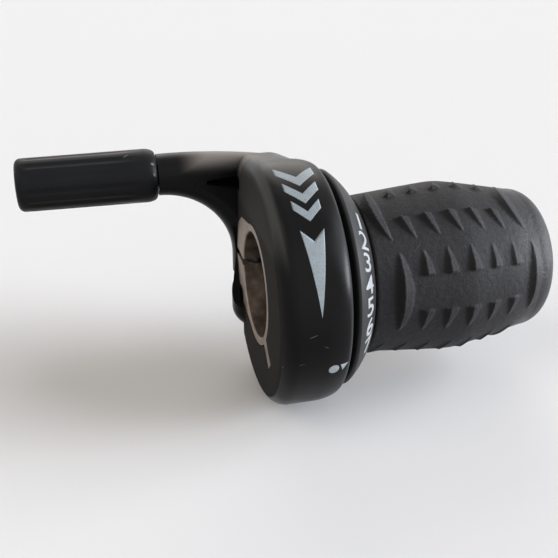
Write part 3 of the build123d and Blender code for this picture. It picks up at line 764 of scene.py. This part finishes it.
def rib_shade(rise, step):
    """Shares of painted shade and of pale, from the slope of the ribs along the bar and its change. Painted
    shade lies on the steep inboard side of a rib, in the corner in front of it and lightly on its back. The
    pale lies
    on its crest and in the corner behind it: partly wear and dust, partly painted highlight."""
    slope = np.diff(rise, axis=0, append=rise[-1:]) / step
    dark = np.clip(slope / STEEP, 0, 1)
    dark[:-CORNER_ROWS] = np.maximum(dark[:-CORNER_ROWS], CORNER_SHADE * dark[CORNER_ROWS:])
    dark = np.maximum(dark, np.clip((-slope - BACK_SLOPES[0]) / BACK_SLOPES[1], 0, BACK_SHADE))
    bend = np.diff(slope, axis=0, prepend=slope[:1])
    worn = np.clip(-bend / CREST_BEND, 0, CREST_WEAR_AND_HIGHLIGHT)
    dust = np.clip(bend / DUST_AND_HIGHLIGHT_BEND, 0, 1) * (slope < 0) * (rise < DUST_AND_HIGHLIGHT_RISE)
    return dark, np.maximum(worn, dust)


class SHIFTER_OT_rubber(bpy.types.Operator):
    """Build the rubber sleeve with its patches of ribs"""
    bl_idname = "shifter.rubber"
    bl_label = "Rubber grip"

    def execute(self, context):
        angle = np.arange(RUBBER_COLUMNS)[None, :] * 360 / RUBBER_COLUMNS
        along = np.linspace(0, TAIL[0], RUBBER_ROWS)[:, None]
        rise = rib_rise(along, angle, sizes().rib_first / MM, sizes().rib_last / MM)
        dark, pale = rib_shade(rise, along[1])
        edge = np.clip(START_ROUND - along, 0, START_ROUND)
        edge = START_ROUND - np.sqrt(START_ROUND ** 2 - edge ** 2)
        outer = around_bar(GRIP_X + along, bare_rubber(along) + rise - edge, angle)
        turn = np.radians(np.linspace(90, 0, CAP_ROWS))[1:, None]
        cap = around_bar(GRIP_X + TAIL[0] + (GRIP_LENGTH - TAIL[0]) * np.cos(turn),
                         bare_rubber(TAIL[0]) - CAP_ROUND + CAP_ROUND * np.sin(turn), angle)
        end = GRIP_LENGTH - LIP_WALL
        inside = np.array([[GRIP_LENGTH, LIP_BORE_R + LIP_EDGE], [GRIP_LENGTH - LIP_EDGE, LIP_BORE_R],
                           [end, LIP_BORE_R], [end, SLEEVE_R], [0, SLEEVE_R]])
        inner = around_bar(GRIP_X + inside[:, :1], inside[:, 1:], angle)
        made = ring_object("ribbed_rubber", np.concatenate([outer, cap, inner]))
        made.data.set_sharp_from_angle(angle=radians(RUBBER_CREASE))
        # the ribs' painted shade, and their pale of wear, dust and painted highlight, go to the mesh as
        # attributes
        for name, share in (("rib_painted_shade", dark), ("rib_wear_and_highlight", pale)):
            values = np.zeros(len(made.data.vertices), np.float32)
            values[:share.size] = share.ravel()
            made.data.attributes.new(name, "FLOAT", "POINT").data.foreach_set("value", values)
        dress(made, "grip", "grip_rubber", moulded_rubber(colours().rubber), "rubber_grip")
        return {"FINISHED"}


# Adjuster

def around_neck(x, radius, angle):
    """Points at a radius from the neck's own axis."""
    return around_bar(x, radius, angle) + np.array([0, NECK_Y, NECK_Z])


def barrel_grid(columns):
    """The barrel as one closed profile turned round the neck's axis: out over the tail's rounded edge, along
    the taper, over the shoulder, and back through the spring's room, the stem's hole and the cable seat.
    Flutes dip into the taper as shallow arcs that fade out at both ends."""
    angle = np.arange(columns)[None, :] * 360 / columns
    tail, mouth = BARREL_LOW[0], BARREL_HIGH[0]
    tail_r = BARREL_R - BARREL_TAPER
    turn = np.radians(np.linspace(0, 90, ROUND_ROWS))
    edge = np.stack([tail + BARREL_EDGE * (1 - np.sin(turn)),
                     tail_r - BARREL_EDGE * (1 - np.cos(turn))], -1)[::-1]
    x = np.linspace(tail + BARREL_EDGE, mouth - SHOULDER_LENGTH, BARREL_ROWS)[1:-1]
    taper = np.stack([x, tail_r + BARREL_TAPER * (x - tail) / (mouth - tail)], -1)
    shoulder = np.stack([mouth - SHOULDER_LENGTH * (1 - np.sin(turn)),
                         BARREL_R - BARREL_SHOULDER * (1 - np.cos(turn))], -1)
    floor = mouth - CHAMBER_DEPTH
    stem_end = STEM_LOW[0]
    stem_r = (STEM_HIGH - STEM_LOW)[1] / 2
    seat = tail + SOCKET_DEPTH
    inside = np.array([[mouth, CHAMBER_R], [floor, CHAMBER_R], [floor, stem_r], [stem_end, stem_r],
                       [stem_end, CABLE_HOLE_R], [seat, CABLE_HOLE_R], [seat, SOCKET_R],
                       [tail + SOCKET_EDGE, SOCKET_R], [tail, SOCKET_R + SOCKET_EDGE]])
    profile = np.concatenate([edge, taper, shoulder, inside])
    radius = np.repeat(profile[:, 1:], columns, 1)
    pitch = 360 / FLUTE_COUNT
    off = np.radians((angle + pitch / 2) % pitch - pitch / 2) * tail_r / FLUTE_HALF
    start = tail + FLUTE_START
    fade = np.clip(np.minimum(x - start, (start + FLUTE_LENGTH - x) / FLUTE_FADE), 0, 1)[:, None]
    rows = slice(len(edge), len(edge) + len(taper))
    radius[rows] -= FLUTE_DEPTH * fade * np.clip(1 - off ** 2, 0, 1) ** 2
    return around_neck(profile[:, :1], radius, angle)


def coil_grid(sides):
    """A round wire along a helix about the neck's axis: rings of points across the wire, the first and the
    last drawn in to close its ends."""
    wire = (SPRING_HIGH - SPRING_LOW)[1] / 2 - WIRE_R
    turn = np.linspace(0, 360 * COIL_TURNS, COIL_STEPS * COIL_TURNS)[:, None]
    x = np.linspace(SPRING_LOW[0] + WIRE_R, SPRING_HIGH[0] - WIRE_R, len(turn))[:, None]
    across = np.radians(np.arange(sides)[None, :] * 360 / sides)
    thick = np.full(turn.shape, WIRE_R)
    thick[[0, -1]] = WIRE_TIP
    return around_neck(x + thick * np.cos(across), wire + thick * np.sin(across), turn)


class SHIFTER_OT_adjuster(bpy.types.Operator):
    """Build the fluted barrel and the coil, and dress the stem"""
    bl_idname = "shifter.adjuster"
    bl_label = "Barrel adjuster"

    # from the neck, angle, direction, length, width and strength of each worn spot
    SCUFFS = ((0.9, 44.0, (0.3, 0.5, -0.8), 2.6, 0.7, 0.45),
              (0.7, 22.0, (0.2, 0.3, -0.9), 1.8, 0.6, 0.35),
              (29.0, 53.0, (0.6, 0.5, -0.6), 2.2, 0.8, 0.3),
              (6.1, 69.0, (0.8, 0.5, 0.3), 1.6, 0.5, 0.2))
    SCUFF_DEPTH = 0.1                # their lines lie this far under the barrel's largest radius

    def execute(self, context):
        scuffs = [(around_neck(BARREL_HIGH[0] - back, BARREL_R - self.SCUFF_DEPTH, angle).tolist(),
                   Vector(along).normalized(), *rest) for back, angle, along, *rest in self.SCUFFS]
        plastic = moulded_nylon("moulded_nylon_adjuster", colours().adjuster, rough=0.4, specular=0.12,
                                scratches=scuffs)
        barrel = ring_object("barrel", barrel_grid(BARREL_COLUMNS))
        barrel.data.set_sharp_from_angle(angle=radians(BARREL_CREASE))
        dress(barrel, "adjuster", "adjuster_plastic", plastic, "adjuster_barrel")
        stem = welded_copy("adjuster_stem", "hollow_stem", TURNED_CREASE)
        dress(stem, "adjuster", "adjuster_plastic", plastic, "adjuster_stem")
        points = coil_grid(WIRE_SIDES)
        rows, columns = points.shape[:2]
        faces = grid_faces(rows, columns, False, True).tolist()
        faces += [list(range(columns)), list(range((rows - 1) * columns, rows * columns))[::-1]]
        coil = mesh_object("coil", points.reshape(-1, 3), faces)
        steel = bare_steel("spring_steel_wire", linear("#a2a2a4"), 0.25)
        dress(coil, "adjuster_slide", "spring_steel", steel, "adjuster_spring")
        return {"FINISHED"}


# Stage

CAMERA_PLACE = (-30.725, -145.391, 75.717)
CAMERA_ELEVATION = 26.62         # degrees, looking down
CAMERA_TURN = 13.82              # degrees, looking to the right
FOCAL_PIXELS = 800.0             # focal length in pixels of the picture
SENSOR = 36.0
NEAREST = 5.0                    # nearest thing that the camera shows
FLOOR_GAP = 0.3                  # floor under the lowest point
FLOOR_HALF = 4000                # half of its side
AMBIENT = 0.12                   # world's light on the object
# name, direction to the light, strength, spread in degrees, colour
SUNS = (("window", (0.9, -0.2, 0.4), 2.8, 50.0, "#f2f6ff"),
        ("back_wall", (0.15, 0.84, 0.52), 0.8, 44.0, "#fff6ec"),
        ("ceiling", (-0.1, 0.1, 0.99), 0.16, 90.0, "#fff8f0"),
        ("left_wall", (-0.69, -0.2, 0.69), 0.7, 44.0, "#fff6ec"),
        ("front_wall", (-0.1, -0.9, 0.42), 0.35, 70.0, "#ffffff"),
        ("glint", (0.95, -0.28, 0.16), 3.6, 24.0, "#f8faff"))


class SHIFTER_OT_stage(bpy.types.Operator):
    """Make the floor, the studio light and the camera"""
    bl_idname = "shifter.stage"
    bl_label = "Stage"

    def execute(self, context):
        scene = context.scene
        scene.view_settings.view_transform = "Standard"
        self.camera(scene)
        self.floor()
        self.world(scene)
        for name, towards, strength, spread, colour in SUNS:
            data = bpy.data.lights.new(name, "SUN")
            data.energy = strength
            data.angle = radians(spread)
            data.color = linear(colour)[:3]
            lamp = bpy.data.objects.new(name, data)
            lamp.rotation_euler = Vector(towards).to_track_quat("Z", "Y").to_euler()
            scene.collection.objects.link(lamp)
        return {"FINISHED"}

    def camera(self, scene):
        """A camera at the picture's place, turn and focal length."""
        data = bpy.data.cameras.new("camera")
        data.sensor_width = SENSOR
        data.lens = FOCAL_PIXELS * SENSOR / IMAGE
        data.clip_start = NEAREST * MM
        camera = bpy.data.objects.new("camera", data)
        camera.location = Vector(CAMERA_PLACE) * MM
        camera.rotation_euler = Euler((radians(90 - CAMERA_ELEVATION), 0, radians(-CAMERA_TURN)))
        scene.collection.objects.link(camera)
        scene.camera = camera

    def floor(self):
        """A wide pale floor just under the lowest point."""
        level = CAD_BOX[0][2] / MM - FLOOR_GAP
        corners = [(x * FLOOR_HALF, y * FLOOR_HALF, level) for x, y in ((-1, -1), (1, -1), (1, 1), (-1, 1))]
        made = mesh_object("floor", corners, [[0, 1, 2, 3]])
        material, tree, _ = blank("matt_white_floor")
        shader = add(tree, SHADER, {"Base Color": linear("#f2f2f2"), "Roughness": 0.9,
                                    "Specular IOR Level": 0.1})
        add(tree, OUTPUT, {"Surface": shader})
        made.data.materials.append(material)

    def world(self, scene):
        """Soft light from all round; it shows white behind the object and in its gloss."""
        world = bpy.data.worlds.new("studio")
        world.use_nodes = True
        scene.world = world
        tree = world.node_tree
        tree.nodes.clear()
        rays = [add(tree, "ShaderNodeLightPath", out=ray)
                for ray in ("Is Camera Ray", "Is Glossy Ray", "Is Transmission Ray")]
        seen = add(tree, MATH, {0: rays[0], 1: rays[1]}, operation="MAXIMUM")
        seen = add(tree, MATH, {0: seen, 1: rays[2]}, operation="MAXIMUM")
        soft = add(tree, "ShaderNodeBackground", {"Color": (1, 1, 1, 1), "Strength": AMBIENT})
        white = add(tree, "ShaderNodeBackground", {"Color": (1, 1, 1, 1), "Strength": 1.0})
        mixed = add(tree, "ShaderNodeMixShader", {0: seen, 1: soft, 2: white})
        add(tree, "ShaderNodeOutputWorld", {"Surface": mixed})


class SHIFTER_PT_panel(bpy.types.Panel):
    """Lists the pieces in the sidebar"""
    bl_idname = "SHIFTER_PT_panel"
    bl_label = "Twist grip shifter"
    bl_space_type = "VIEW_3D"
    bl_region_type = "UI"
    bl_category = "Shifter"

    def draw(self, context):
        for group in (context.scene.shifter_sizes, context.scene.shifter_colours):
            for name in group.__annotations__:
                self.layout.prop(group, name)
        for operator in OPERATORS:
            self.layout.operator(operator.bl_idname)


OPERATORS = (SHIFTER_OT_housing, SHIFTER_OT_clamp, SHIFTER_OT_inside, SHIFTER_OT_prints, SHIFTER_OT_core,
             SHIFTER_OT_rubber, SHIFTER_OT_adjuster, SHIFTER_OT_stage)
CLASSES = (ShifterSizes, ShifterColours, *OPERATORS, SHIFTER_PT_panel)


def register():
    for cls in CLASSES:
        bpy.utils.register_class(cls)
    bpy.types.Scene.shifter_sizes = PointerProperty(type=ShifterSizes)
    bpy.types.Scene.shifter_colours = PointerProperty(type=ShifterColours)


def unregister():
    del bpy.types.Scene.shifter_sizes
    del bpy.types.Scene.shifter_colours
    for cls in reversed(CLASSES):
        bpy.utils.unregister_class(cls)


def main():
    register()
    bpy.ops.shifter.housing()
    bpy.ops.shifter.clamp()
    bpy.ops.shifter.inside()
    bpy.ops.shifter.prints()
    bpy.ops.shifter.core()
    bpy.ops.shifter.rubber()
    bpy.ops.shifter.adjuster()
    bpy.ops.shifter.stage()


if __name__ == "__main__":
    main()
